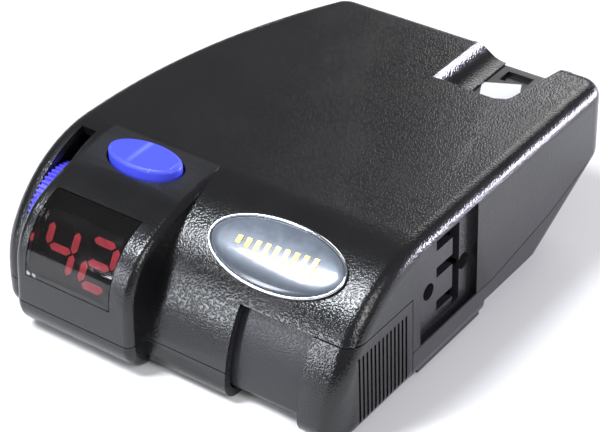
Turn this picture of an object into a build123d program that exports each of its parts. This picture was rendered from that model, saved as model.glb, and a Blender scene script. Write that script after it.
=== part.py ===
from build123d import *
import os
from math import acos, atan2, cos, degrees, radians, sin, sqrt, tan

# Electric brake controller for a towed vehicle: a hollow two-part housing with a display pod,
# a boost button, a gain thumbwheel, a sprung manual lever and a rear connector.
# Millimetres. X is to the right as the user faces it, Y is to the rear, Z is up.
# The origin is at the middle of the resting face, below the middle of the outline.

# ---------------------------------------------------------------- driving dimensions
body_width = 107.0
body_front = 59.3            # distance of the housing's front from the origin
body_rear = 65.6             # distance of the rear face from the origin
body_height = 40.0
wall = 2.2
front_radius = 37.0          # the front rolls over into the top with this radius
bottom_radius = 5.0          # lower front edge
edge_radius = 4.2            # soft edge between the top and the side walls
front_corner = 10.0          # plan corners
rear_corner = 6.5
taper_start = -20.0          # the left wall leaves the straight here
taper_radius = 173.0         # and bends inwards with this radius
ramp_start = 27.0            # the underside rises behind this line
ramp_rise = 18.5             # height of the underside at the rear face
bevel = 4.7                  # the lower right edge is cut off at 45 degrees
bevel_start = 5.3            # behind this line
seam_height = 9.1            # seam between the two shells
seam_knee = (10.0, 37.0)     # the seam starts to rise at the first, and steepens at the second
seam_knee_rise = 3.9
seam_rear_rise = 11.4
seam_gap = 0.25
fit_gap = 0.3                # between separate mouldings

# display pod
pod_left = -42.3
pod_right = -4.3
pod_back = -24.0
pod_top_radius = 80.0
pod_brow_radius = 18.5
pod_brow_angle = 20.5
pod_draft = 6.0
pod_foot_radius = 8.0        # the pod's lower front edge is full and round
pod_edge = 2.2

# display window
window_width = 27.6
window_centre_x = -24.5
window_low = 17.6
window_high = 35.9
lens_gap = 0.25
lens_flange = 1.3
lens_flange_thickness = 0.8

# two-digit display, of the standard 0.56 inch size
digit_height = 14.2
digit_pitch = 12.7
digit_slant = 10.0
display_width = 25.0
display_high = 19.0
display_depth = 8.0
display_tilt = 18.0
display_centre = (-26.5, -55.0, 22.0)
segment_width = 1.9
segment_length = 6.2
segment_depth = 0.3

# boards
board_thickness = 1.6
main_board_z = 6.2
main_board_box = (-37.0, 42.0, -21.0, 33.0)
tongue_box = (-42.5, -9.0, -49.5, -21.0)
tab_box = (0.5, 17.5, -34.0, -21.0)
display_board_width = 25.2
display_board_height = 27.0

# gain thumbwheel
wheel_radius = 13.5
wheel_width = 3.8
wheel_centre = (-45.7, -40.0, 20.0)
wheel_teeth = 60
wheel_tooth_depth = 0.7
wheel_slot_gap = 0.5
wheel_slot_rear = -28.5
wheel_slot_low = 17.5
wheel_boss_radius = 4.2
wheel_shaft_radius = 2.0
running_fit = 0.05
gain_sensor_thickness = 3.7
gain_sensor_width = 9.4

# boost button
button_centre = (-23.5, -32.5)
button_length = 22.4
button_width = 11.6
button_proud = 1.8           # above the highest edge of its hole
button_gap = 0.6             # all round, in its hole
button_edge = 1.0
button_depth = 6.7
button_flange = 1.5
button_flange_thickness = 1.5
button_travel = 1.2
button_stem_radius = 2.2
switch_size = 6.0
switch_height = 3.6
switch_button_radius = 1.7
switch_button_height = 1.8

# manual lever
lever_left = 20.4            # left edge of its opening
lever_top = 25.7
lever_back = -27.1
lever_pad_left = 42.0
lever_setback = 2.8          # the sliding bar runs this far inside the housing's surface
lever_thickness = 2.2
lever_bar_left = 16.5
lever_flange_depth = 6.0
rib_count = 13
rib_depth = 0.4
rib_width = 0.8
rib_pitch = 1.62
carriage_length = 8.0
carriage_box = (-55.0, -38.0, 8.0, 18.0)
rod_radius = 1.5
rod_y = -42.0
rod_z = 13.0
rod_left = -5.0
rod_right = 32.0
rod_rib = 2.5
spring_wire = 0.5
spring_radius = 2.6
spring_turns = 7.0
sensor_box = (0.0, 31.0, -33.0, -27.1, 8.5, 17.5)
wiper_size = (2.4, 6.6, 2.0)

# oval badge
badge_length = 40.0
badge_width = 19.0
badge_centre = (23.9, -41.0)
badge_thickness = 1.3

# side mounting faces
mount_front = -24.0
mount_rear = 1.5
mount_top = 37.0
mount_depth = 2.0
mount_wall = 2.6
mount_hole_radius = 2.3
mount_hole_z = 21.0
mount_hole_front = -17.5
mount_hole_rear = -2.0
slot_bar_y = -5.4
slot_width = 3.0
slot_low = 10.8
slot_high = 34.0
slot_arm_front = -14.0
slot_arm_levels = (32.5, 24.5, 14.5)

# rear connector and its notch
notch_left = 22.0
notch_right = 36.6           # at its front, from where the right wall flares out
notch_flare = 0.185
notch_front = 40.5
notch_floor = 34.0
notch_corner = 4.0
scoop_axis = (22.0, 42.5)    # the left wall is a round hollow about this line, in X and Z
scoop_radius = 8.0
connector_width = 18.0
connector_height = 12.4
connector_depth = 23.5
connector_wall = 1.6
connector_z = 21.5
connector_x = 28.5
blade_count = 5
blade_pitch = 2.9
blade_width = 1.2
blade_thickness = 0.8
socket_depth = 15.0
latch_slot = (8.0, 5.0, 1.2)  # in the connector's top: across, along, deep
latch_slot_y = 60.5
label_size = (10.6, 7.8, 0.08)
label_centre = (28.0, 53.0)
label_turn = 26.0            # the label is stuck on askew

# parts on the main board: (x0, x1, y0, y1, height) of the packages
chip_box = (-5.0, 5.0, -6.0, 4.0, 1.2)
motion_sensor_box = (-24.0, -19.0, 2.0, 7.0, 1.4)
shunt_box = (10.0, 20.0, -4.0, -1.0, 2.3)
shunt_thickness = 0.8
pin_length = 1.0             # of every soldered leg below the board
pin_half = 0.3
header_count = 8
header_pitch = 2.54
header_inset = 2.0           # of its row of pins from the tongue's front edge
header_height = 2.5
header_pin_half = 0.32
standoff_inset = 4.0         # from the main board's edges
standoff_radius = 2.8
board_screw_radius = 1.2
board_screw_reach = 2.9      # below the main board
board_screw_head = (2.3, 1.5)
capacitor_places = ((5.0, 28.0, 2.0, 16.0), (5.0, 28.0, 14.0, 16.0), (3.15, 17.0, -14.0, 11.0))
choke_centre = (-22.0, -10.0)
choke_radii = (6.0, 3.6)
diode_radius = 2.7
diode_body = (11.0, 20.5)
diode_legs = (8.0, 23.0)
diode_y = 8.0
diode_rise = 3.2
diode_leg_radius = 0.6

# heat sink and its two power transistors
sink_x0 = -24.0
sink_x1 = 12.0
sink_y = 26.0
sink_thickness = 2.5
sink_height = 22.0
sink_fins = 7
fin_thickness = 1.5
fin_low = 4.0                # the fins start this far above the board
transistor_places = (-15.0, 3.0)
transistor_half = 5.0
transistor_low = 4.0
case_thickness = 3.2
case_height = 9.0
tab_thickness = 1.3
tab_height = 15.5
tab_hole = 12.5              # above the transistor's foot
leg_pitch = 2.54
leg_half = 0.4
leg_thickness = 0.6
transistor_screw = (1.5, 4.0)
transistor_screw_head = (2.7, 2.0)

# case screws: (x, y) of each
screw_places = ((-4.5, -31.0), (-44.5, 10.0), (46.5, 10.0), (-6.0, 50.0))
screw_radius = 1.5
screw_head_radius = 2.8
screw_head_height = 1.8
screw_grip = 7.0
boss_radius = 3.6

half = body_width / 2
far = 200.0


# ---------------------------------------------------------------- construction helpers
def block(x0, x1, y0, y1, z0, z1):
    """An upright box between two corners."""
    return Pos((x0 + x1) / 2, (y0 + y1) / 2, (z0 + z1) / 2) * Box(x1 - x0, y1 - y0, z1 - z0)


def across(edges, x0, x1):
    """A side outline in Y and Z, carried along X."""
    return Pos(x0, 0, 0) * extrude(Plane.YZ * make_face(edges), x1 - x0)


def along_x(radius, x0, x1, y, z):
    """A round bar parallel to X."""
    return Pos((x0 + x1) / 2, y, z) * (Rot(0, 90, 0) * Cylinder(radius, x1 - x0))


def upright(radius, x, y, z0, z1):
    """A round bar parallel to Z."""
    return Pos(x, y, (z0 + z1) / 2) * Cylinder(radius, z1 - z0)


def parts_of(*shapes):
    return Compound(children=[solid for shape in shapes for solid in shape.solids()])


# ---------------------------------------------------------------- housing outlines
ramp_slope = ramp_rise / (body_rear - ramp_start)
front_centre = (front_radius - body_front, body_height - front_radius)


def seam_z(y):
    """Height of the seam at a place along the body."""
    if y <= seam_knee[0]:
        return seam_height
    if y <= seam_knee[1]:
        return seam_height + seam_knee_rise * (y - seam_knee[0]) / (seam_knee[1] - seam_knee[0])
    steep = (seam_rear_rise - seam_knee_rise) / (body_rear - seam_knee[1])
    return seam_height + seam_knee_rise + steep * (y - seam_knee[1])


def front_y(z, inset=0.0):
    """The housing's front surface at a height."""
    radius = front_radius - inset
    return front_centre[0] - sqrt(radius ** 2 - (z - front_centre[1]) ** 2)


def body_profile(inset):
    """Side outline of the body: round front, flat top, and a ramp under the rear."""
    radius = front_radius - inset
    cy, cz = front_centre
    foot = (front_y(inset, inset), inset)
    middle = (cy - radius * cos(radians(50)), cz + radius * sin(radians(50)))
    top_front = (cy, cz + radius)
    top_rear = (body_rear - inset, body_height - inset)
    lean = inset * sqrt(1 + ramp_slope ** 2)
    ramp_top = (body_rear - inset, (body_rear - inset - ramp_start) * ramp_slope + lean)
    ramp_foot = (ramp_start + (inset - lean) / ramp_slope, inset)
    outline = [ThreePointArc(foot, middle, top_front),
               Polyline(top_front, top_rear, ramp_top, ramp_foot, foot)]
    face = make_face(Curve(children=outline).edges())
    corner = face.vertices().sort_by_distance((foot[0], foot[1], 0))[0]
    return fillet(corner, max(bottom_radius - inset, 1.0))


def plan_profile(inset):
    """Plan outline: straight on the right, tapered on the left towards the rear."""
    front = -body_front - 1.7 + inset
    right = half - inset
    rear = body_rear - inset
    bend = taper_radius - inset
    bend_x = -half + taper_radius
    start = (-right, taper_start)
    reach = rear - taper_start
    middle = (bend_x - sqrt(bend ** 2 - (reach / 2) ** 2), taper_start + reach / 2)
    end = (bend_x - sqrt(bend ** 2 - reach ** 2), rear)
    line = Polyline(start, (-right, front), (right, front), (right, rear), end)
    face = make_face([*line.edges(), ThreePointArc(end, middle, start).edge()])
    fronts = face.vertices().sort_by(Axis.Y)[:2]
    face = fillet(fronts, max(front_corner - inset, 0.6))
    rears = face.vertices().filter_by_position(Axis.Y, rear - 0.01, rear + 0.01).sort_by(Axis.X)
    return fillet([rears[0], rears[-1]], max(rear_corner - inset, 0.6))


def pod_profile(inset, low):
    """Side outline of the display pod: steep face, tight brow, and a slow run-out into the top."""
    brow = radians(pod_brow_angle)
    steep = radians(90 - pod_draft)
    c2 = (pod_back, body_height - pod_top_radius)
    back = (pod_back, body_height - inset)
    r2 = pod_top_radius - inset
    joint = (c2[0] - r2 * sin(brow), c2[1] + r2 * cos(brow))
    mid2 = (c2[0] - r2 * sin(brow / 2), c2[1] + r2 * cos(brow / 2))
    c1 = (c2[0] - (pod_top_radius - pod_brow_radius) * sin(brow),
          c2[1] + (pod_top_radius - pod_brow_radius) * cos(brow))
    r1 = pod_brow_radius - inset
    mid_angle = (brow + steep) / 2
    mid1 = (c1[0] - r1 * sin(mid_angle), c1[1] + r1 * cos(mid_angle))
    cheek = (c1[0] - r1 * sin(steep), c1[1] + r1 * cos(steep))
    foot = (cheek[0] - (cheek[1] - low) / tan(steep), low)
    outline = [Line(foot, cheek), ThreePointArc(cheek, mid1, joint), ThreePointArc(joint, mid2, back),
               Polyline(back, (pod_back, low), foot)]
    face = make_face(Curve(children=outline).edges())
    corner = face.vertices().sort_by_distance((foot[0], foot[1], 0))[0]
    return fillet(corner, pod_foot_radius - inset)


def body_block(inset):
    body = Pos(-far / 2, 0, 0) * extrude(Plane.YZ * body_profile(inset), far)
    body = body & extrude(plan_profile(inset), body_height)
    edge = half - bevel - inset * sqrt(2)
    bevelled = make_face(Polyline((edge, 0), (edge + far, far), (edge + far, 0), close=True).edges())
    return body - Pos(0, far + bevel_start - inset, 0) * extrude(Plane.XZ * bevelled, far)


def pod_block(inset, low):
    x0 = pod_left + inset
    return Pos(x0, 0, 0) * extrude(Plane.YZ * pod_profile(inset, low), pod_right - inset - x0)


def below_seam(lift=0.0):
    """Everything under the seam surface."""
    y1, y2 = seam_knee
    outline = Polyline((-far, seam_height + lift), (y1, seam_height + lift),
                       (y2, seam_height + seam_knee_rise + lift), (far, seam_z(far) + lift),
                       (far, -far), (-far, -far), (-far, seam_height + lift))
    return Pos(-far / 2, 0, 0) * extrude(Plane.YZ * make_face(outline.edges()), far)


def soft_body():
    """The body with its long edges rounded."""
    body = body_block(0)
    soft = []
    for edge in body.edges():
        rise = abs((edge @ 0).Z - (edge @ 1).Z)
        place = edge.center()
        crosswise = edge.length > body_width * 0.9 and rise < 0.1
        post = edge.geom_type == GeomType.LINE and rise > body_height * 0.4
        cut_off = place.Z < bevel + 0.01 and place.Y > bevel_start - 0.01 and place.X > 0
        if not (crosswise or post or cut_off):
            soft.append(edge)
    return fillet(soft, edge_radius)


def soft_pod():
    """The display pod with rounded edges."""
    pod = pod_block(0, 0)
    soft = [edge for edge in pod.edges()
            if min(abs(edge.center().X - pod_left), abs(edge.center().X - pod_right)) < 0.01
            and edge.center().Y < pod_back - 1 and edge.center().Z > 1]
    return fillet(soft, pod_edge)


# ---------------------------------------------------------------- frames used by several pieces
tilt = radians(display_tilt)
display_frame = Plane(origin=display_centre, x_dir=(1, 0, 0), z_dir=(0, -cos(tilt), sin(tilt)))
badge_angle = degrees(atan2(-(badge_centre[1] - front_centre[0]),
                            sqrt(front_radius ** 2 - (badge_centre[1] - front_centre[0]) ** 2)))
badge_z = front_centre[1] + front_radius * cos(radians(badge_angle))
badge_frame = Plane(origin=(badge_centre[0], badge_centre[1], badge_z), x_dir=(1, 0, 0),
                    z_dir=(0, -sin(radians(badge_angle)), cos(radians(badge_angle))))
board_top = main_board_z + board_thickness
pocket_x = half - mount_depth

# ---------------------------------------------------------------- shells
outer = soft_body() + soft_pod()
cavity = body_block(wall) + pod_block(wall, wall)
lever_space = block(lever_left, far, -far, lever_back, -1, lever_top)
lever_room = block(lever_left, half, -body_front, lever_back + wall, 0, lever_top + wall)
lever_walls = (body_block(wall * 0.5) & lever_room)
mount_pad = block(pocket_x - mount_wall, half - 0.5, mount_front - 0.5, mount_rear + wall,
                  wall * 0.5, body_height - wall)
slot_x0 = wheel_centre[0] - wheel_width / 2 - wheel_slot_gap
slot_x1 = wheel_centre[0] + wheel_width / 2 + wheel_slot_gap
wheel_slot = block(slot_x0, slot_x1, -body_front - 1, wheel_slot_rear, wheel_slot_low, body_height)
wheel_boss = along_x(wheel_boss_radius, -half + wall * 0.5, slot_x0 - 0.1, *wheel_centre[1:])
wheel_bore = along_x(wheel_shaft_radius + running_fit, -half + wall, slot_x0 + 0.1, *wheel_centre[1:])


def case_screw(x, y):
    """Depth of the counterbore's floor above the underside, at a screw."""
    base = max(0.0, (y - ramp_start) * ramp_slope)
    return base + 2.4


posts = []
post_holes = []
for x, y in screw_places:
    head_z = case_screw(x, y)
    posts.append(upright(boss_radius, x, y, wall * 0.5, body_height - wall * 0.5))
    post_holes.append(upright(screw_radius + 0.3, x, y, -1, seam_z(y) + seam_gap))
    post_holes.append(upright(screw_radius, x, y, seam_z(y), head_z + screw_grip + seam_z(y) - head_z))
    post_holes.append(upright(screw_head_radius + 0.3, x, y, -1, head_z))
posts = Part() + posts
posts = posts & (body_block(wall * 0.5) + pod_block(wall * 0.5, wall * 0.5))


def side_openings(side):
    """The pocket, two holes and three-armed slot of a side mounting face."""
    x0, x1 = sorted((side * (pocket_x - mount_wall - 1), side * (half + 1)))
    face0, face1 = sorted((side * pocket_x, side * (half + 1)))
    cut = block(face0, face1, mount_front, mount_rear, seam_height + 0.4, mount_top)
    for y in (mount_hole_front, mount_hole_rear):
        cut += along_x(mount_hole_radius, x0, x1, y, mount_hole_z)
    cut += block(x0, x1, slot_bar_y - slot_width / 2, slot_bar_y + slot_width / 2, slot_low, slot_high)
    for z in slot_arm_levels:
        cut += block(x0, x1, slot_arm_front, slot_bar_y, z - slot_width / 2, z + slot_width / 2)
    return cut


window_x0 = window_centre_x - window_width / 2
window_x1 = window_centre_x + window_width / 2
window_lean = acos((window_high - body_height + pod_top_radius) / pod_top_radius)
window_top_y = pod_back - pod_top_radius * sin(window_lean)


def window_zone(grow):
    """The window's place, cut square to the surface at its top edge."""
    s, c = sin(window_lean), cos(window_lean)
    y = window_top_y + grow * c
    z = window_high + grow * s
    deep = 6.0
    outline = Polyline((-far, window_low - grow), (-far, far), (y - far * s, z + far * c),
                       (y + deep * s, z - deep * c), (y + deep * s, window_low - grow), close=True)
    return across(outline.edges(), window_x0 - grow, window_x1 + grow)


window_cut = window_zone(0)
button_hole = extrude(Pos(*button_centre, seam_height) * Ellipse(button_length / 2 + button_gap,
                                                                 button_width / 2 + button_gap), body_height)


def notch_block(grow, low, high):
    """The notch above the connector: straight on the left, and flared to the rear on the right."""
    front = notch_front - grow
    right = notch_right + grow + notch_flare * (front - notch_front)
    outline = Polyline((notch_left - grow, front), (right, front),
                       (right + notch_flare * (far - front), far), (notch_left - grow, far), close=True)
    face = make_face(outline.edges())
    corner = face.vertices().sort_by_distance((right, front, 0))[0]
    return Pos(0, 0, low) * extrude(fillet(corner, notch_corner + grow), high - low)


def scoop_block(grow):
    """The round hollow along the notch's left side."""
    axis_x, axis_z = scoop_axis
    bar = Cylinder(scoop_radius + grow, far)
    return Pos(axis_x, notch_front + 0.5 - grow + far / 2, axis_z) * (Rot(90, 0, 0) * bar)


notch = notch_block(0, notch_floor, far)
scoop = scoop_block(0) & block(-half, notch_left + 0.1, -far, far, notch_floor, far)
liner_zone = block(-half, half, -half, body_rear - 0.5, notch_floor, body_height - wall * 0.5)
notch_liner = (notch_block(wall, notch_floor, body_height) + scoop_block(wall)) & liner_zone
socket_hole = block(connector_x - connector_width / 2 - fit_gap, connector_x + connector_width / 2 + fit_gap,
                    body_rear - 5, body_rear + 1, connector_z - fit_gap, notch_floor + 0.1)

solid_shell = outer - cavity
solid_shell += lever_walls
solid_shell += mount_pad
solid_shell += mirror(mount_pad, Plane.YZ) & body_block(wall * 0.5)
solid_shell += posts
solid_shell += wheel_boss & body_block(wall * 0.5)
solid_shell += notch_liner & body_block(wall * 0.5)
cuts = [lever_space, side_openings(1), side_openings(-1), wheel_slot, wheel_bore, window_cut, button_hole,
        notch, scoop, socket_hole, *post_holes]
for cut in cuts:
    solid_shell -= cut
lower_shell = solid_shell & below_seam()
upper_shell = solid_shell - below_seam(seam_gap)

# ribs that carry the lever's guide rod
rib_y0 = rod_y - 4.0
rib_y1 = rod_y + 4.0
left_rib = block(rod_left, rod_left + rod_rib, rib_y0, rib_y1, wall * 0.5, rod_z + 4.0)
right_rib = block(rod_right - rod_rib, rod_right, rib_y0 + 1, rib_y1 - 1, rod_z - 3.5, lever_top + wall * 0.5)
rod_bore = along_x(rod_radius, rod_left - 1, rod_right + 1, rod_y, rod_z)
lower_shell += left_rib - rod_bore
upper_shell += (right_rib & body_block(wall * 0.5)) - rod_bore

# standoffs under the main board
standoffs = [(x, y) for x in (main_board_box[0] + standoff_inset, main_board_box[1] - standoff_inset)
             for y in (main_board_box[2] + standoff_inset, main_board_box[3] - standoff_inset)]
screw_hole_low = main_board_z - board_screw_reach
for x, y in standoffs:
    lower_shell += upright(standoff_radius, x, y, wall * 0.5, main_board_z) & body_block(wall * 0.5)
for x, y in standoffs:
    lower_shell -= upright(board_screw_radius, x, y, screw_hole_low, main_board_z + 1)

# ---------------------------------------------------------------- manual lever
lever_x0 = lever_pad_left
lever_zone = block(lever_x0, half + 1, -body_front - 2, lever_back - fit_gap, fit_gap, lever_top - fit_gap)
pad = (soft_body() & lever_zone) - body_block(lever_setback)
pad -= block(lever_x0 - 1, half - lever_setback - lever_flange_depth, -body_front + 2 * lever_flange_depth,
             0, -1, lever_setback + 0.01)
for i in range(rib_count):
    y = lever_back - 3.0 - i * rib_pitch
    pad -= block(half - rib_depth, half + 1, y - rib_width / 2, y + rib_width / 2, 3.2, lever_top - 3.2)
bar_inner = lever_setback + lever_thickness
bar_zone = block(lever_bar_left, half, -body_front, rib_y0 - 0.8, lever_setback, lever_top - fit_gap)
bar = (body_block(lever_setback) - body_block(bar_inner)) & bar_zone
carriage_x1 = rod_right - rod_rib - 0.2
carriage_x0 = carriage_x1 - carriage_length
carriage = block(carriage_x0, carriage_x1, *carriage_box) & body_block(bar_inner - 0.5)
slide_bore = along_x(rod_radius + running_fit, carriage_x0 - 1, carriage_x1 + 1, rod_y, rod_z)
manual_slide = bar + carriage - slide_bore
wiper_x = (carriage_x0 + carriage_x1) / 2
wiper = block(wiper_x - wiper_size[0] / 2, wiper_x + wiper_size[0] / 2, carriage_box[1],
              carriage_box[1] + wiper_size[1], rod_z - wiper_size[2] / 2, rod_z + wiper_size[2] / 2)
sensor = block(*sensor_box)
sensor -= block(sensor_box[0] + 2, sensor_box[1] - 2, sensor_box[2] - 1, sensor_box[2] + 2.0,
                rod_z - wiper_size[2] / 2 - fit_gap, rod_z + wiper_size[2] / 2 + fit_gap)
sensor_pins = []
for i in range(3):
    x = tab_box[0] + 3.5 + i * 5.0
    y = (sensor_box[2] + sensor_box[3]) / 2
    sensor_pins.append(block(x - pin_half, x + pin_half, y - pin_half, y + pin_half,
                             main_board_z - pin_length, sensor_box[4]))
rod = along_x(rod_radius, rod_left, rod_right, rod_y, rod_z)
spring_x0 = rod_left + rod_rib
spring_length = carriage_x0 - spring_x0
coil = Helix(pitch=(spring_length - spring_wire) / spring_turns, height=spring_length - spring_wire,
             radius=spring_radius)
coil_section = Plane(origin=coil @ 0, z_dir=coil % 0) * Circle(spring_wire / 2)
spring = Pos(spring_x0 + spring_wire / 2, rod_y, rod_z) * (Rot(0, 90, 0) * sweep(coil_section, coil))

# ---------------------------------------------------------------- gain thumbwheel
step = 360 / wheel_teeth
rim = []
for i in range(wheel_teeth):
    for share, radius in ((0.0, wheel_radius), (0.35, wheel_radius), (0.5, wheel_radius - wheel_tooth_depth),
                          (0.85, wheel_radius - wheel_tooth_depth)):
        angle = radians(step * (i + share))
        rim.append((radius * cos(angle), radius * sin(angle)))
wheel_face = make_face(Polyline(*rim, close=True).edges())
wheel = extrude(wheel_face, wheel_width / 2, both=True) - Cylinder(wheel_shaft_radius, 2 * wheel_width)
wheel = Pos(*wheel_centre) * (Rot(0, 90, 0) * wheel)
shaft_x0 = -half + wall + 0.2
shaft_x1 = slot_x1 + 2.2
wheel_shaft = along_x(wheel_shaft_radius, shaft_x0, shaft_x1, *wheel_centre[1:])
sensor_x0 = slot_x1 + 0.1
sensor_x1 = sensor_x0 + gain_sensor_thickness
gain_half = gain_sensor_width / 2
gain_y = wheel_centre[1]
gain_sensor = block(sensor_x0, sensor_x1, gain_y - gain_half, gain_y + gain_half,
                    board_top + 2.0, wheel_centre[2] + gain_half)
gain_sensor -= along_x(wheel_shaft_radius + running_fit, sensor_x0 - 1, shaft_x1 + 0.2, *wheel_centre[1:])
gain_pins = []
for i in (-1, 0, 1):
    y = gain_y + 2.5 * i
    x = (sensor_x0 + sensor_x1) / 2 + 0.5
    gain_pins.append(block(x - pin_half, x + pin_half, y - pin_half, y + pin_half,
                           main_board_z - pin_length, board_top + 2.0))

# ---------------------------------------------------------------- boost button and its switch
button_top = body_height + button_proud
button_low = button_top - button_depth
oval = Ellipse(button_length / 2, button_width / 2)
button = Pos(*button_centre, button_low) * extrude(oval, button_depth)
button = fillet(button.edges().sort_by(Axis.Z)[-1], button_edge)
flange = Ellipse(button_length / 2 + button_flange, button_width / 2 + button_flange)
button += (Pos(*button_centre, button_low - button_flange_thickness)
           * extrude(flange, button_flange_thickness))
switch_top = board_top + switch_height
stem_low = switch_top + switch_button_height
button += upright(button_stem_radius, *button_centre, stem_low, button_low)
bx, by = button_centre
switch = block(bx - switch_size / 2, bx + switch_size / 2, by - switch_size / 2, by + switch_size / 2,
               board_top, switch_top)
switch -= upright(switch_button_radius + running_fit, bx, by, board_top + 0.4, switch_top + 1)
plunger = upright(switch_button_radius, bx, by, board_top + 0.4 + button_travel + 0.2, stem_low)

# ---------------------------------------------------------------- display
lens = (pod_block(0.05, 1) - pod_block(wall, 0)) & window_zone(-lens_gap)
lens += (pod_block(wall, wall) - pod_block(wall + lens_flange_thickness, 0)) & window_zone(lens_flange)
display_body = display_frame * (Pos(0, 0, -display_depth / 2)
                                * Box(display_width, display_high, display_depth))
lean = tan(radians(digit_slant))
segment_places = {"a": (0, 1, 0), "b": (1, 0.5, 1), "c": (1, -0.5, 1), "d": (0, -1, 0),
                  "e": (-1, -0.5, 1), "f": (-1, 0.5, 1), "g": (0, 0, 0)}
digit_arm = (digit_height - segment_width) / 2
digit_reach = (segment_length + segment_width) / 2 + 0.15


def segment(name, digit_x):
    """One bar of a seven-segment digit, slanted like the rest."""
    right, up, tall = segment_places[name]
    cx, cy = right * digit_reach, up * digit_arm
    long = digit_arm / 2 - 0.2 if tall else segment_length / 2 + 0.3
    tip = segment_width / 2
    bar_points = [(-long, 0), (-long + tip, tip), (long - tip, tip),
                  (long, 0), (long - tip, -tip), (-long + tip, -tip)]
    points = []
    for u, v in bar_points:
        if tall:
            u, v = v, u
        points.append((digit_x + cx + u + (cy + v) * lean, cy + v))
    return display_frame * extrude(make_face(Polyline(*points, close=True).edges()), segment_depth)


digits = ((-digit_pitch / 2 - 0.4, "bcfg"), (digit_pitch / 2 - 0.4, "abdeg"))
lit = []
dark = []
for digit_x, shown in digits:
    for name in segment_places:
        (lit if name in shown else dark).append(segment(name, digit_x))
    point = display_frame * (Pos(digit_x + digit_reach + 1.2, -digit_arm, segment_depth / 2)
                             * Cylinder(0.8, segment_depth))
    dark.append(point)
back_z = -display_depth - board_thickness
display_board = display_frame * (Pos(0, -1.5, back_z + board_thickness / 2)
                                 * Box(display_board_width, display_board_height, board_thickness))

# ---------------------------------------------------------------- boards and what they carry
main_board = block(*main_board_box, main_board_z, board_top)
main_board += block(*tongue_box, main_board_z, board_top)
main_board += block(*tab_box, main_board_z, board_top)
for x, y in standoffs:
    main_board -= upright(board_screw_radius, x, y, 0, far)
for pins in (sensor_pins, gain_pins):
    for pin in pins:
        main_board -= pin
header_y = tongue_box[2] + header_inset
header_half = header_count * header_pitch / 2
header = block(display_centre[0] - header_half, display_centre[0] + header_half,
               header_y - 1.0, header_y + 1.4, board_top, board_top + header_height)
header_pins = []
for i in range(header_count):
    x = display_centre[0] + (i - (header_count - 1) / 2) * header_pitch
    x0, x1 = x - header_pin_half, x + header_pin_half
    header_pins.append(block(x0, x1, header_y - 3.2, header_y - 1.0,
                             board_top + 1.0, board_top + 1.0 + 2 * header_pin_half))
    header_pins.append(block(x0, x1, header_y - header_pin_half, header_y + header_pin_half,
                             main_board_z - pin_length, main_board_z))
for pin in header_pins:
    display_board -= pin
board_screws = []
for x, y in standoffs:
    board_screws.append(upright(board_screw_radius, x, y, screw_hole_low, board_top)
                        + upright(board_screw_head[0], x, y, board_top, board_top + board_screw_head[1]))
chip = block(*chip_box[:4], board_top, board_top + chip_box[4])
motion_sensor = block(*motion_sensor_box[:4], board_top, board_top + motion_sensor_box[4])
sink_top = board_top + sink_height
heat_sink = block(sink_x0, sink_x1, sink_y, sink_y + sink_thickness, board_top, sink_top)
for i in range(sink_fins):
    x = sink_x0 + 1.0 + i * (sink_x1 - sink_x0 - 2.0 - fin_thickness) / (sink_fins - 1)
    heat_sink += block(x, x + fin_thickness, sink_y + sink_thickness, main_board_box[3] - 0.5,
                       board_top + fin_low, sink_top)
transistors = []
transistor_screws = []
foot_z = board_top + transistor_low
hole_z = foot_z + tab_hole
for x in transistor_places:
    x0, x1 = x - transistor_half, x + transistor_half
    case = block(x0, x1, sink_y - tab_thickness - case_thickness, sink_y - tab_thickness,
                 foot_z, foot_z + case_height)
    tab = block(x0, x1, sink_y - tab_thickness, sink_y, foot_z, foot_z + tab_height)
    bore = Pos(x, sink_y, hole_z) * (Rot(90, 0, 0) * Cylinder(transistor_screw[0], 12))
    legs = Part()
    leg_y = sink_y - tab_thickness - case_thickness / 2
    for k in (-leg_pitch, 0, leg_pitch):
        leg_place = (x + k - leg_half, x + k + leg_half, leg_y, leg_y + leg_thickness)
        legs += block(*leg_place, main_board_z - pin_length, foot_z + 0.1)
        main_board -= block(*leg_place, 0, far)
    transistors.append(case + tab + legs - bore)
    heat_sink -= bore
    shank = Pos(x, sink_y + 0.2, hole_z) * (Rot(90, 0, 0) * Cylinder(*transistor_screw))
    head_y = sink_y - tab_thickness - transistor_screw_head[1] / 2
    head = Pos(x, head_y, hole_z) * (Rot(90, 0, 0) * Cylinder(*transistor_screw_head))
    transistor_screws.append(shank + head)
capacitors = [upright(radius, x, y, board_top, board_top + height)
              for radius, x, y, height in capacitor_places]
choke = Pos(*choke_centre, board_top + choke_radii[1]) * Torus(*choke_radii)
diode_z = board_top + diode_rise
diode = along_x(diode_radius, *diode_body, diode_y, diode_z)
diode += along_x(diode_leg_radius, *diode_legs, diode_y, diode_z)
for x in diode_legs:
    diode += upright(diode_leg_radius, x, diode_y, main_board_z - pin_length, diode_z + diode_leg_radius)
    main_board -= upright(diode_leg_radius, x, diode_y, 0, board_top + 0.01)
shunt_top = board_top + shunt_box[4]
shunt = block(*shunt_box[:4], shunt_top - shunt_thickness, shunt_top)
for x in (shunt_box[0], shunt_box[1] - shunt_thickness):
    leg_place = (x, x + shunt_thickness, *shunt_box[2:4])
    shunt += block(*leg_place, main_board_z - pin_length, shunt_top)
    main_board -= block(*leg_place, 0, far)

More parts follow.
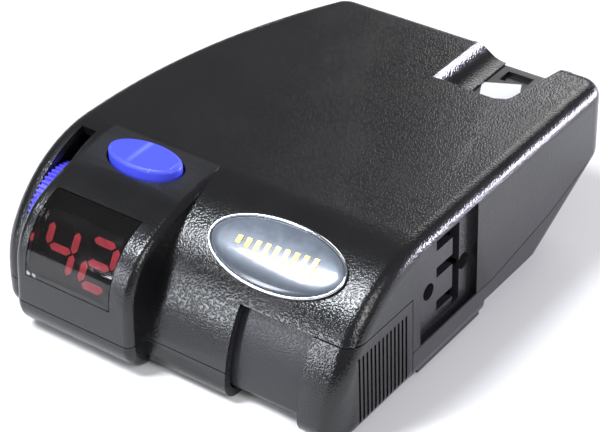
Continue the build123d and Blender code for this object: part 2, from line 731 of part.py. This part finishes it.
# ---------------------------------------------------------------- rear connector
connector_y1 = body_rear - fit_gap
connector_y0 = connector_y1 - connector_depth
connector_top = connector_z + connector_height
connector_x0 = connector_x - connector_width / 2
connector_x1 = connector_x + connector_width / 2
connector = block(connector_x0, connector_x1, connector_y0, connector_y1, connector_z, connector_top)
connector -= block(connector_x0 + connector_wall, connector_x1 - connector_wall,
                   connector_y1 - socket_depth, connector_y1 + 1,
                   connector_z + connector_wall, connector_top - connector_wall)
connector -= (Pos(connector_x, latch_slot_y, connector_top)
              * Box(latch_slot[0], latch_slot[1], 2 * latch_slot[2]))
blade_z = connector_z + connector_height / 2
tail_y = main_board_box[3] - 2.0
blades = []
for i in range(blade_count):
    x = connector_x + (i - (blade_count - 1) / 2) * blade_pitch
    x0, x1 = x - blade_width / 2, x + blade_width / 2
    z0, z1 = blade_z - blade_thickness / 2, blade_z + blade_thickness / 2
    blade = block(x0, x1, tail_y, connector_y1 - 5.0, z0, z1)
    blade += block(x0, x1, tail_y, tail_y + blade_thickness, main_board_z - pin_length, blade_z)
    blades.append(blade)
    connector -= block(x0, x1, connector_y0 - 1, connector_y1 - socket_depth + 0.1, z0, z1)
    main_board -= block(x0, x1, tail_y, tail_y + blade_thickness, 0, board_top + 0.01)
label = Pos(*label_centre, connector_top + label_size[2] / 2) * (Rot(0, 0, label_turn) * Box(*label_size))

# ---------------------------------------------------------------- badge and case screws
badge = badge_frame * (Pos(0, 0, -12) * extrude(Ellipse(badge_length / 2, badge_width / 2), 24))
badge &= along_x(front_radius + badge_thickness, -half, half, *front_centre)
badge -= along_x(front_radius, -half, half, *front_centre)
badge = Compound(children=[badge.solids().sort_by(Axis.Z)[-1]])
case_screws = []
for x, y in screw_places:
    head_z = case_screw(x, y)
    case_screws.append(upright(screw_head_radius, x, y, head_z - screw_head_height, head_z)
                       + upright(screw_radius, x, y, head_z, seam_z(y) + screw_grip))

# ---------------------------------------------------------------- nodes
nodes = {
    "upper_shell": upper_shell, "lower_shell": lower_shell, "display_lens": lens,
    "display_module": display_body, "lit_segments": parts_of(*lit), "unlit_segments": parts_of(*dark),
    "display_board": display_board, "main_board": main_board, "board_header": header,
    "header_pins": parts_of(*header_pins), "microcontroller": chip, "motion_sensor": motion_sensor,
    "power_transistors": parts_of(*transistors), "heat_sink": heat_sink,
    "transistor_screws": parts_of(*transistor_screws), "capacitors": parts_of(*capacitors),
    "choke_coil": choke, "flyback_diode": diode, "current_shunt": shunt,
    "board_screws": parts_of(*board_screws),
    "boost_button": button, "switch_body": switch, "switch_plunger": plunger,
    "gain_wheel": wheel, "wheel_shaft": wheel_shaft, "gain_sensor": gain_sensor,
    "gain_sensor_pins": parts_of(*gain_pins), "manual_slide": manual_slide, "lever_pad": pad,
    "slide_wiper": wiper, "slide_sensor": sensor, "slide_sensor_pins": parts_of(*sensor_pins),
    "guide_rod": rod, "return_spring": spring, "connector_housing": connector,
    "connector_blades": parts_of(*blades), "connector_label": label, "badge_plate": badge,
    "case_screws": parts_of(*case_screws),
}
os.makedirs("parts", exist_ok=True)
for name, shape in nodes.items():
    export_step(shape, os.path.join("parts", name + ".step"))
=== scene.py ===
from math import asin, cos, pi, radians, sin

import bmesh
import bpy
from mathutils import Matrix, Vector


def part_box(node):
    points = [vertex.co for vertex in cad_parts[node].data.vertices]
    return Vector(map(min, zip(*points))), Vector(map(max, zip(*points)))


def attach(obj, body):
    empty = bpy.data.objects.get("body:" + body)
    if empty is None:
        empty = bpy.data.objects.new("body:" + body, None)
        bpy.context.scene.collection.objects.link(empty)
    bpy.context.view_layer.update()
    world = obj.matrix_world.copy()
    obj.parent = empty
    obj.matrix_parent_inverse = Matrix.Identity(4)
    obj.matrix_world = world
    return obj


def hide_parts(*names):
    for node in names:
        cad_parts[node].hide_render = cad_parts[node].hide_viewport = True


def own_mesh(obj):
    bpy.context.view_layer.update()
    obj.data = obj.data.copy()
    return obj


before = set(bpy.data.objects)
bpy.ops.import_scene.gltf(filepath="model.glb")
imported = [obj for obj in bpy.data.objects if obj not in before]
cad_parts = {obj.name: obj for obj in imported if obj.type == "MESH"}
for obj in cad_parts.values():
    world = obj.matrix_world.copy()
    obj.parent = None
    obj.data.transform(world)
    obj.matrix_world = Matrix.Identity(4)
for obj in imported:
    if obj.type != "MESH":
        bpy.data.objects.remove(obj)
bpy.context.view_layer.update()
MM = 0.001

# ---- Viewpoint ----
# A long-lens view down onto the front right corner, from above and to the right of the front. The
# camera is rolled slightly, and its place and turn are in the object's own frame.
eye = Vector((261.2, -339.6, 314.1)) * MM
view_turn = radians(37.6)
view_fall = radians(35.09)
view_roll = radians(-2.18)
forward = Vector((-sin(view_turn) * cos(view_fall), cos(view_turn) * cos(view_fall), -sin(view_fall)))
sideways = Vector((cos(view_turn), sin(view_turn), 0))
upwards = sideways.cross(forward)
right_way = sideways * cos(view_roll) + upwards * sin(view_roll)
top_way = upwards * cos(view_roll) - sideways * sin(view_roll)
camera_data = bpy.data.cameras.new("viewpoint")
camera_data.sensor_width = 36
camera_data.lens = 119.4
camera = bpy.data.objects.new("viewpoint", camera_data)
camera.matrix_world = Matrix((
    (right_way.x, top_way.x, -forward.x, eye.x),
    (right_way.y, top_way.y, -forward.y, eye.y),
    (right_way.z, top_way.z, -forward.z, eye.z),
    (0, 0, 0, 1)))
bpy.context.scene.collection.objects.link(camera)
bpy.context.scene.camera = camera
bpy.context.scene.view_settings.view_transform = "Standard"

# ---- Floor and light ----
# A white floor. The key soft box stands high at the front left, where the round front mirrors it, with
# a weaker one below it for the steep parts and one at the right for the display's cheek. One stands
# behind for the flat top, and a lavender one low at the rear right for the side face.
floor_size = 3.0
floor_gap = 0.0001
floor_white = (0.88, 0.88, 0.88, 1)
world_light = 0.26
aim_height = 0.02
floor_mesh = bpy.data.meshes.new("floor")
floor_mesh.from_pydata([(-floor_size, -floor_size, 0), (floor_size, -floor_size, 0),
                        (floor_size, floor_size, 0), (-floor_size, floor_size, 0)], [], [(0, 1, 2, 3)])
floor = bpy.data.objects.new("floor", floor_mesh)
floor.location.z = -floor_gap
bpy.context.scene.collection.objects.link(floor)
floor_paint = bpy.data.materials.new("floor_paint")
floor_paint.use_nodes = True
floor_shader = floor_paint.node_tree.nodes["Principled BSDF"]
floor_shader.inputs["Base Color"].default_value = floor_white
floor_shader.inputs["Roughness"].default_value = 0.7
floor_mesh.materials.append(floor_paint)

world = bpy.data.worlds.new("studio")
bpy.context.scene.world = world
world.use_nodes = True
sky = world.node_tree.nodes["Background"]
sky.inputs["Color"].default_value = (1, 1, 1, 1)
sky.inputs["Strength"].default_value = world_light


def soft_lamp(name, place, width, height, watts, colour=(1, 1, 1)):
    """A rectangular soft box that faces the object."""
    lamp_data = bpy.data.lights.new(name, "AREA")
    lamp_data.shape = "RECTANGLE"
    lamp_data.size = width
    lamp_data.size_y = height
    lamp_data.energy = watts
    lamp_data.color = colour
    lamp = bpy.data.objects.new(name, lamp_data)
    lamp.location = place
    line_of_aim = Vector((0, 0, aim_height)) - Vector(place)
    lamp.rotation_euler = line_of_aim.to_track_quat("-Z", "Y").to_euler()
    bpy.context.scene.collection.objects.link(lamp)


soft_lamp("key_soft_box", (-0.30, -0.30, 0.75), 0.16, 0.34, 8.0, (0.90, 0.94, 1.0))
soft_lamp("front_soft_box", (-0.46, -0.80, 0.34), 0.12, 0.40, 3.0, (0.90, 0.94, 1.0))
soft_lamp("right_soft_box", (0.55, -0.30, 0.55), 0.30, 0.30, 2.5)
soft_lamp("rear_soft_box", (-0.20, 0.95, 0.66), 0.50, 0.36, 3.0)
soft_lamp("side_soft_box", (0.60, 0.78, 0.10), 0.60, 0.18, 16.0, (0.84, 0.82, 1.0))

# ---- Grained housing and lever ----
# The two shells, the manual lever's pad and its slide are injection moulded in black ABS. The tool is
# spark-eroded, which leaves a glossy pebbled grain. The edges are rubbed to a lighter black.
housing_colour = (0.006, 0.006, 0.007)
housing_edge = (0.022, 0.022, 0.026)
# ranges of the cloud noise, of the distance within a pebble and of an edge's sharpness that take effect
cloud_range = (0.36, 0.66)
pebble_range = (0.05, 0.75)
edge_range = (0.52, 0.60)
gloss_patches = 70
smoother, rougher = 0.02, 0.04


def new_finish(name):
    """An empty finish: its material, node tree, shader and the piece's own coordinates."""
    material = bpy.data.materials.new(name)
    material.use_nodes = True
    tree = material.node_tree
    place = tree.nodes.new("ShaderNodeTexCoord").outputs["Object"]
    return material, tree, tree.nodes["Principled BSDF"], place


def mottle(tree, place, scale, detail, low, high):
    """Cloudy variation of a given fineness, spread between two values."""
    clouds = tree.nodes.new("ShaderNodeTexNoise")
    clouds.inputs["Scale"].default_value = scale
    clouds.inputs["Detail"].default_value = detail
    tree.links.new(place, clouds.inputs["Vector"])
    return spread(tree, clouds.outputs["Fac"], *cloud_range, low, high)


def spread(tree, value, from_low, from_high, low, high):
    """A value carried from one range into another, with soft ends."""
    ramp = tree.nodes.new("ShaderNodeMapRange")
    ramp.interpolation_type = "SMOOTHSTEP"
    for socket, number in (("From Min", from_low), ("From Max", from_high),
                           ("To Min", low), ("To Max", high)):
        ramp.inputs[socket].default_value = number
    tree.links.new(value, ramp.inputs["Value"])
    return ramp.outputs["Result"]


def blend_of(tree, factor, first, second):
    """A colour between two, by a factor."""
    mix = tree.nodes.new("ShaderNodeMix")
    mix.data_type = "RGBA"
    mix.inputs["A"].default_value = (*first, 1)
    mix.inputs["B"].default_value = (*second, 1)
    tree.links.new(factor, mix.inputs["Factor"])
    return mix.outputs["Result"]


def emboss(tree, shader, height, depth):
    """Relief of a given depth in metres."""
    bump = tree.nodes.new("ShaderNodeBump")
    bump.inputs["Distance"].default_value = depth
    tree.links.new(height, bump.inputs["Height"])
    tree.links.new(bump.outputs["Normal"], shader.inputs["Normal"])


def rubbed_edges(tree):
    """1 along sharp edges, 0 elsewhere."""
    shape = tree.nodes.new("ShaderNodeNewGeometry")
    return spread(tree, shape.outputs["Pointiness"], *edge_range, 0, 1)


def plastic(name, colour, rough, grain, depth, edge):
    """Moulded plastic: pebbles of a given fineness and depth, uneven gloss and brighter edges."""
    material, tree, shader, place = new_finish(name)
    pebbles = tree.nodes.new("ShaderNodeTexVoronoi")
    pebbles.inputs["Scale"].default_value = grain
    tree.links.new(place, pebbles.inputs["Vector"])
    emboss(tree, shader, spread(tree, pebbles.outputs["Distance"], *pebble_range, 1, 0), depth)
    gloss = mottle(tree, place, gloss_patches, 3, rough - smoother, rough + rougher)
    tree.links.new(gloss, shader.inputs["Roughness"])
    tree.links.new(blend_of(tree, rubbed_edges(tree), colour, edge), shader.inputs["Base Color"])
    return material


def dress(material, *names):
    """Give carried-over CAD nodes their finish."""
    for name in names:
        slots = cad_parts[name].data.materials
        slots.clear()
        slots.append(material)


dress(plastic("housing_black", housing_colour, 0.20, 1900, 0.000035, housing_edge),
      "upper_shell", "lower_shell", "lever_pad")
dress(plastic("slide_black", housing_colour, 0.34, 2200, 0.00003, housing_edge), "manual_slide")

# ---- Circuit boards ----
# Both boards are 1.6 mm glass laminate under a green lacquer. Copper tracks show through it as a
# lighter green, and the weave of the glass gives the lacquer a faint relief.
lacquer = (0.010, 0.085, 0.030)
track_green = (0.025, 0.190, 0.065)
material, tree, shader, place = new_finish("board_laminate")
tracks = tree.nodes.new("ShaderNodeTexVoronoi")
tracks.distance = "MANHATTAN"
tracks.feature = "F2"
tracks.inputs["Scale"].default_value = 260
tree.links.new(place, tracks.inputs["Vector"])
lines = spread(tree, tracks.outputs["Distance"], 0.55, 0.60, 0, 1)
tree.links.new(blend_of(tree, lines, track_green, lacquer), shader.inputs["Base Color"])
tree.links.new(mottle(tree, place, 300, 2, 0.22, 0.34), shader.inputs["Roughness"])
emboss(tree, shader, mottle(tree, place, 2500, 1, 0, 1), 0.00001)
dress(material, "main_board", "display_board")

# ---- Packages on the boards ----
# The chips, transistors, diode, header and the three sensors are moulded in dark epoxy or nylon, with
# the fine blasted surface of a moulding tool.
dress(plastic("package_epoxy", (0.022, 0.022, 0.024), 0.48, 3000, 0.00001, (0.05, 0.05, 0.05)),
      "microcontroller", "motion_sensor", "power_transistors", "flyback_diode", "board_header",
      "gain_sensor", "slide_sensor", "switch_body")
dress(plastic("natural_nylon", (0.62, 0.61, 0.55), 0.42, 1800, 0.00001, (0.72, 0.71, 0.66)),
      "switch_plunger", "slide_wiper", "wheel_shaft")
material = plastic("capacitor_sleeve", (0.016, 0.030, 0.085), 0.30, 900, 0.00001, (0.03, 0.05, 0.13))
dress(material, "capacitors")

# ---- Metal parts ----
# Legs and blades are tinned brass, the heat sink is extruded aluminium, and the screws, the guide rod
# and the return spring are steel. Each carries the fine lines of drawing, rolling or turning.
line_relief = 0.000006
tarnish = 0.8


def shade(colour, share):
    """A darker tone of a colour."""
    return tuple(share * part for part in colour)


def metal(name, colour, rough, stretch):
    """Bare metal with fine lines along one direction and cloudy tarnish."""
    material, tree, shader, place = new_finish(name)
    shader.inputs["Metallic"].default_value = 1.0
    mapping = tree.nodes.new("ShaderNodeMapping")
    mapping.inputs["Scale"].default_value = stretch
    tree.links.new(place, mapping.inputs["Vector"])
    lines = mottle(tree, mapping.outputs["Vector"], 1500, 2, 0, 1)
    emboss(tree, shader, lines, line_relief)
    tree.links.new(mottle(tree, place, 250, 3, rough - 0.06, rough + 0.10), shader.inputs["Roughness"])
    tone = blend_of(tree, mottle(tree, place, 120, 4, 0, 1), colour, shade(colour, tarnish))
    tree.links.new(tone, shader.inputs["Base Color"])
    return material


dress(metal("tinned_brass", (0.74, 0.73, 0.70), 0.26, (1, 0.08, 1)),
      "header_pins", "gain_sensor_pins", "slide_sensor_pins", "current_shunt", "connector_blades")
dress(metal("extruded_aluminium", (0.80, 0.81, 0.82), 0.34, (1, 1, 0.06)), "heat_sink")
dress(metal("zinc_plated_steel", (0.62, 0.63, 0.65), 0.28, (1, 1, 0.3)),
      "transistor_screws", "board_screws", "case_screws")
drawn_steel = metal("drawn_steel", (0.58, 0.58, 0.59), 0.20, (0.05, 1, 1))
dress(drawn_steel, "guide_rod")

# ---- Choke coil ----
# Twenty turns of enamelled copper on a ferrite ring, glued down flat on the main board. The ring and
# the turns fill the plain ring that holds their place.
choke_turns = 20
wire_radius = 0.0004
choke_low, choke_high = (Vector(corner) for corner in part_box("choke_coil"))
choke_middle = (choke_low + choke_high) / 2
choke_tube = (choke_high.z - choke_low.z) / 2
choke_ring = (choke_high.x - choke_low.x) / 2 - choke_tube


def tree_with_inputs(name, sizes):
    """An empty geometry tree with named number inputs, its input and output nodes."""
    tree = bpy.data.node_groups.new(name, "GeometryNodeTree")
    tree.interface.new_socket("Geometry", in_out="OUTPUT", socket_type="NodeSocketGeometry")
    for label, number in sizes.items():
        kind = "NodeSocketInt" if isinstance(number, int) else "NodeSocketFloat"
        tree.interface.new_socket(label, in_out="INPUT", socket_type=kind)
    return tree, tree.nodes.new("NodeGroupInput"), tree.nodes.new("NodeGroupOutput")


def grown(name, tree, sizes):
    """The plain mesh that a geometry tree makes from the given sizes."""
    holder = bpy.data.objects.new(name + "_tree", bpy.data.meshes.new(name + "_tree"))
    bpy.context.scene.collection.objects.link(holder)
    modifier = holder.modifiers.new("tree", "NODES")
    modifier.node_group = tree
    for item in tree.interface.items_tree:
        if item.in_out == "INPUT":
            modifier[item.identifier] = sizes[item.name]
    mesh = bpy.data.meshes.new_from_object(holder.evaluated_get(bpy.context.evaluated_depsgraph_get()))
    holder.modifiers.remove(modifier)
    bpy.data.objects.remove(holder)
    mesh.name = name
    return mesh


def pass_out(tree, geometry, finish, result):
    """Make a tree's geometry real, give it a finish and hand it to the output."""
    real = tree.nodes.new("GeometryNodeRealizeInstances")
    paint = tree.nodes.new("GeometryNodeSetMaterial")
    paint.inputs["Material"].default_value = finish
    tree.links.new(geometry, real.inputs["Geometry"])
    tree.links.new(real.outputs["Geometry"], paint.inputs["Geometry"])
    tree.links.new(paint.outputs["Geometry"], result.inputs["Geometry"])


def piece(name, mesh, body):
    """A finished piece that rides on a body."""
    thing = bpy.data.objects.new(name, mesh)
    bpy.context.scene.collection.objects.link(thing)
    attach(thing, body)
    return thing


copper_wire = metal("enamelled_copper", (0.66, 0.25, 0.10), 0.24, (1, 1, 1))
winding_sizes = {"Turns": choke_turns, "Ring radius": choke_ring,
                 "Turn radius": choke_tube - wire_radius, "Wire radius": wire_radius}
tree, given, result = tree_with_inputs("winding", winding_sizes)
path = tree.nodes.new("GeometryNodeCurvePrimitiveCircle")
stations = tree.nodes.new("GeometryNodeCurveToPoints")
turn = tree.nodes.new("GeometryNodeCurvePrimitiveCircle")
turn.inputs["Resolution"].default_value = 24
wire = tree.nodes.new("GeometryNodeCurvePrimitiveCircle")
wire.inputs["Resolution"].default_value = 8
tube = tree.nodes.new("GeometryNodeCurveToMesh")
copies = tree.nodes.new("GeometryNodeInstanceOnPoints")
for start, end in ((given.outputs["Ring radius"], path.inputs["Radius"]),
                   (path.outputs["Curve"], stations.inputs["Curve"]),
                   (given.outputs["Turns"], stations.inputs["Count"]),
                   (given.outputs["Turn radius"], turn.inputs["Radius"]),
                   (given.outputs["Wire radius"], wire.inputs["Radius"]),
                   (turn.outputs["Curve"], tube.inputs["Curve"]),
                   (wire.outputs["Curve"], tube.inputs["Profile Curve"]),
                   (stations.outputs["Points"], copies.inputs["Points"]),
                   (stations.outputs["Rotation"], copies.inputs["Rotation"]),
                   (tube.outputs["Mesh"], copies.inputs["Instance"])):
    tree.links.new(start, end)
pass_out(tree, copies.outputs["Instances"], copper_wire, result)
winding_mesh = grown("choke_winding", tree, winding_sizes)
winding_mesh.transform(Matrix.Translation(choke_middle))
winding = piece("choke_winding", winding_mesh, "housing")
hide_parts("choke_coil")

# ---- Return spring ----
# Seven turns of steel wire on the guide rod, cold wound. It presses on a rib of the lower shell, and
# closes up towards that rib as the lever comes to the left. Here it is built at one length and rides
# on the housing.
spring_turns = 7
spring_wire = 0.25 * MM
spring_low, spring_high = (Vector(corner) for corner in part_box("return_spring"))
spring_sizes = {"Rotations": float(spring_turns), "Wire radius": spring_wire,
                "Coil radius": (spring_high.z - spring_low.z) / 2 - spring_wire,
                "Length": spring_high.x - spring_low.x - 2 * spring_wire}
tree, given, result = tree_with_inputs("cold_wound_coil", spring_sizes)
coil = tree.nodes.new("GeometryNodeCurveSpiral")
coil.inputs["Resolution"].default_value = 32
wire = tree.nodes.new("GeometryNodeCurvePrimitiveCircle")
wire.inputs["Resolution"].default_value = 10
tube = tree.nodes.new("GeometryNodeCurveToMesh")
tube.inputs["Fill Caps"].default_value = True
for start, end in ((given.outputs["Rotations"], coil.inputs["Rotations"]),
                   (given.outputs["Coil radius"], coil.inputs["Start Radius"]),
                   (given.outputs["Coil radius"], coil.inputs["End Radius"]),
                   (given.outputs["Length"], coil.inputs["Height"]),
                   (given.outputs["Wire radius"], wire.inputs["Radius"]),
                   (coil.outputs["Curve"], tube.inputs["Curve"]),
                   (wire.outputs["Curve"], tube.inputs["Profile Curve"])):
    tree.links.new(start, end)
pass_out(tree, tube.outputs["Mesh"], drawn_steel, result)
spring_mesh = grown("return_coil", tree, spring_sizes)
spring_middle = (spring_low + spring_high) / 2
spring_foot = Vector((spring_low.x + spring_wire, spring_middle.y, spring_middle.z))
spring_mesh.transform(Matrix.Translation(spring_foot) @ Matrix.Rotation(pi / 2, 4, "Y"))
spring = piece("return_coil", spring_mesh, "housing")
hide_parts("return_spring")
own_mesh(spring)

# ---- Choke core ----
# The ring that the copper is wound on: pressed ferrite, matt and nearly black. Its section is round and
# fills the inside of the turns.
core_sides = 48
core_outline_sides = 20


def mesh_of(name, shape):
    """The plain mesh of a finished shape, with its faces turned outwards."""
    bmesh.ops.recalc_face_normals(shape, faces=shape.faces)
    mesh = bpy.data.meshes.new(name)
    shape.to_mesh(mesh)
    shape.free()
    return mesh


def ring_mesh(name, middle, radius, profile, sides):
    """A closed ring about the vertical, from a closed outline of (outwards, up) points."""
    shape = bmesh.new()
    rings = []
    for i in range(sides):
        angle = 2 * pi * i / sides
        ring = []
        for out, up in profile:
            reach = radius + out
            corner = Vector((reach * cos(angle), reach * sin(angle), up))
            ring.append(shape.verts.new(middle + corner))
        rings.append(ring)
    count = len(profile)
    for i in range(sides):
        here, ahead = rings[i], rings[(i + 1) % sides]
        for j in range(count):
            k = (j + 1) % count
            shape.faces.new((here[j], ahead[j], ahead[k], here[k])).smooth = True
    return mesh_of(name, shape)


core_tube = choke_tube - 2 * wire_radius
core_angles = [2 * pi * i / core_outline_sides for i in range(core_outline_sides)]
core_outline = [(core_tube * cos(angle), core_tube * sin(angle)) for angle in core_angles]
core_mesh = ring_mesh("choke_core", choke_middle, choke_ring, core_outline, core_sides)
ferrite = plastic("ferrite", (0.035, 0.040, 0.038), 0.55, 2500, 0.00002, (0.06, 0.06, 0.06))
core_mesh.materials.append(ferrite)
piece("choke_core", core_mesh, "housing")

# ---- Two-digit display ----
# A standard seven-segment module: a grey-black face with light wells of tinted epoxy. The lit bars glow
# a little unevenly, and the dark ones are barely visible.
dress(plastic("display_face", (0.014, 0.012, 0.013), 0.38, 2600, 0.00001, (0.03, 0.03, 0.03)),
      "display_module")
glow_colour = (0.90, 0.10, 0.13)
glow_strength = 1.9
glow_dimmest = 0.78
material, tree, shader, place = new_finish("lit_epoxy")
shader.inputs["Emission Strength"].default_value = glow_strength
glow = blend_of(tree, mottle(tree, place, 500, 2, 0, 1), glow_colour, shade(glow_colour, glow_dimmest))
tree.links.new(glow, shader.inputs["Emission Color"])
tree.links.new(glow, shader.inputs["Base Color"])
tree.links.new(mottle(tree, place, 900, 1, 0.30, 0.45), shader.inputs["Roughness"])
dress(material, "lit_segments")
dress(plastic("dark_epoxy", (0.040, 0.008, 0.009), 0.35, 1800, 0.00001, (0.05, 0.02, 0.02)),
      "unlit_segments")

# ---- Display window ----
# Smoked acrylic, polished on both faces and snapped in from behind. It hides all but the lit bars, and
# its tint and polish vary slightly from place to place.
smoke = (0.22, 0.20, 0.22)
smoke_darkest = 0.9
material, tree, shader, place = new_finish("smoked_acrylic")
shader.inputs["Transmission Weight"].default_value = 1.0
shader.inputs["IOR"].default_value = 1.49
tint = blend_of(tree, mottle(tree, place, 40, 2, 0, 1), smoke, shade(smoke, smoke_darkest))
tree.links.new(tint, shader.inputs["Base Color"])
tree.links.new(mottle(tree, place, 160, 3, 0.03, 0.08), shader.inputs["Roughness"])
emboss(tree, shader, mottle(tree, place, 90, 1, 0, 1), 0.00001)
dress(material, "display_lens")

# ---- Boost button and gain thumbwheel ----
# Both are moulded in blue plastic. The button is satin, with a lighter blue, and the wheel's teeth
# are polished by the thumb.
dress(plastic("button_blue", (0.055, 0.075, 0.80), 0.46, 1600, 0.000015, (0.12, 0.16, 0.92)),
      "boost_button")
dress(plastic("wheel_blue", (0.030, 0.022, 0.72), 0.30, 1600, 0.00001, (0.10, 0.09, 0.90)),
      "gain_wheel")

# ---- Rear connector ----
# A smooth black nylon socket, with a plain paper label stuck on its top. The label lies askew, and the
# notch in the housing leaves part of it open to view.
dress(plastic("connector_nylon", (0.012, 0.012, 0.013), 0.30, 2600, 0.00001, (0.03, 0.03, 0.03)),
      "connector_housing")
dress(plastic("label_paper", (0.58, 0.59, 0.64), 0.60, 1400, 0.00001, (0.66, 0.66, 0.70)),
      "connector_label")

# ---- Oval badge ----
# A plated rim holds a silver-blue printed foil under a dome of clear resin. The foil is bare but for a
# plain rising level scale. The badge is bent to the round front and glued on.
badge_low, badge_high = (Vector(corner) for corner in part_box("badge_plate"))
badge_middle = (badge_low + badge_high) / 2
badge_half = (badge_high.x - badge_low.x) / 2
badge_arc_half = 9.5 * MM
front_radius = 37.0 * MM
front_axis_y = -22.3 * MM
front_axis_z = 3.0 * MM
badge_y = -41.0 * MM
front_lean = asin((front_axis_y - badge_y) / front_radius)
badge_sides = 96
# each ring of an oval: millimetres in from the edge, share of that size, millimetres above the front
rim_rings = ((0.0, 1, 0.0), (0.0, 1, 0.70), (0.15, 1, 0.92), (0.40, 1, 1.0), (0.65, 1, 0.95),
             (0.85, 1, 0.75), (0.90, 1, 0.0))
dome_rings = ((0.95, 1, 0.0), (0.95, 1, 0.42), (1.10, 1, 0.56), (1.40, 1, 0.66), (1.40, 0.90, 0.80),
              (1.40, 0.74, 0.92), (1.40, 0.54, 1.02), (1.40, 0.34, 1.08), (1.40, 0.16, 1.11))


def on_front(across, along, rise):
    """A point on the round front, across and along from the badge's middle, above the surface."""
    angle = front_lean - along / front_radius
    reach = front_radius + rise
    return Vector((badge_middle.x + across,
                   front_axis_y - reach * sin(angle),
                   front_axis_z + reach * cos(angle)))


def oval_mesh(name, outline, finish):
    """A closed oval ring, or a dome when the last ring is smaller than the first."""
    shape = bmesh.new()
    rings = []
    angles = [2 * pi * i / badge_sides for i in range(badge_sides)]
    for inset, share, rise in outline:
        long, short = (share * (half - inset * MM) for half in (badge_half, badge_arc_half))
        rings.append([shape.verts.new(on_front(long * cos(angle), short * sin(angle), rise * MM))
                      for angle in angles])
    capped = outline[-1][1] < 1
    for lower, upper in zip(rings, rings[1:] if capped else rings[1:] + rings[:1]):
        for i in range(badge_sides):
            k = (i + 1) % badge_sides
            shape.faces.new((lower[i], lower[k], upper[k], upper[i])).smooth = True
    if capped:
        shape.faces.new(rings[0])
        shape.faces.new(rings[-1]).smooth = True
    mesh = mesh_of(name, shape)
    mesh.materials.append(finish)
    return mesh


plated = metal("plated_rim", (0.70, 0.72, 0.76), 0.14, (1, 1, 1))
rim = piece("badge_rim", oval_mesh("badge_rim", rim_rings, plated), "housing")
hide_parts("badge_plate")

foil_dark = (0.030, 0.038, 0.055)
foil_light = (0.17, 0.20, 0.25)
foil_dark_end, foil_light_end = -5.0 * MM, 5.5 * MM
material, tree, shader, place = new_finish("domed_foil")
centred = tree.nodes.new("ShaderNodeMapping")
centred.inputs["Location"].default_value = (-badge_middle.x, -badge_middle.y, -badge_middle.z)
tree.links.new(place, centred.inputs["Vector"])
parts = tree.nodes.new("ShaderNodeSeparateXYZ")
tree.links.new(centred.outputs["Vector"], parts.inputs["Vector"])
band = spread(tree, parts.outputs["Z"], foil_dark_end, foil_light_end, 0.05, 1.0)
sheen = tree.nodes.new("ShaderNodeMath")
sheen.operation = "MULTIPLY"
tree.links.new(band, sheen.inputs[0])
tree.links.new(mottle(tree, place, 220, 3, 0.80, 1.0), sheen.inputs[1])
foil_tone = blend_of(tree, sheen.outputs["Value"], foil_dark, foil_light)
tree.links.new(foil_tone, shader.inputs["Base Color"])
shader.inputs["Metallic"].default_value = 0.25
tree.links.new(mottle(tree, place, 500, 2, 0.30, 0.40), shader.inputs["Roughness"])
shader.inputs["Coat Weight"].default_value = 1.0
shader.inputs["Coat Roughness"].default_value = 0.12
piece("badge_dome", oval_mesh("badge_dome", dome_rings, material), "housing")

scale_ticks = 9
scale_sizes = {"Count": scale_ticks, "Pitch": 2.7 * MM, "Width": 1.3 * MM, "Lowest": 2.0 * MM,
               "Growth": 0.40 * MM, "Thickness": 0.36 * MM}
gold = metal("gold_print", (0.80, 0.42, 0.10), 0.30, (1, 1, 1))
tree, given, result = tree_with_inputs("level_scale", scale_sizes)
row = tree.nodes.new("GeometryNodeMeshLine")
stride = tree.nodes.new("ShaderNodeCombineXYZ")
order = tree.nodes.new("GeometryNodeInputIndex")
growth = tree.nodes.new("ShaderNodeMath")
growth.operation = "MULTIPLY_ADD"
tick_size = tree.nodes.new("ShaderNodeCombineXYZ")
tick = tree.nodes.new("GeometryNodeMeshCube")
copies = tree.nodes.new("GeometryNodeInstanceOnPoints")
for start, end in ((given.outputs["Pitch"], stride.inputs["X"]),
                   (stride.outputs["Vector"], row.inputs["Offset"]),
                   (given.outputs["Count"], row.inputs["Count"]),
                   (order.outputs["Index"], growth.inputs[0]),
                   (given.outputs["Growth"], growth.inputs[1]),
                   (given.outputs["Lowest"], growth.inputs[2]),
                   (given.outputs["Width"], tick_size.inputs["X"]),
                   (growth.outputs["Value"], tick_size.inputs["Y"]),
                   (given.outputs["Thickness"], tick_size.inputs["Z"]),
                   (row.outputs["Mesh"], copies.inputs["Points"]),
                   (tick.outputs["Mesh"], copies.inputs["Instance"]),
                   (tick_size.outputs["Vector"], copies.inputs["Scale"])):
    tree.links.new(start, end)
pass_out(tree, copies.outputs["Instances"], gold, result)
scale_mesh = grown("badge_scale", tree, scale_sizes)
scale_start = -(scale_ticks - 1) / 2 * scale_sizes["Pitch"]
scale_rise = 1.05 * MM
for vertex in scale_mesh.vertices:
    across, along, rise = vertex.co.x + scale_start, vertex.co.y, vertex.co.z
    vertex.co = on_front(across, along, scale_rise + rise)
piece("badge_scale", scale_mesh, "housing")
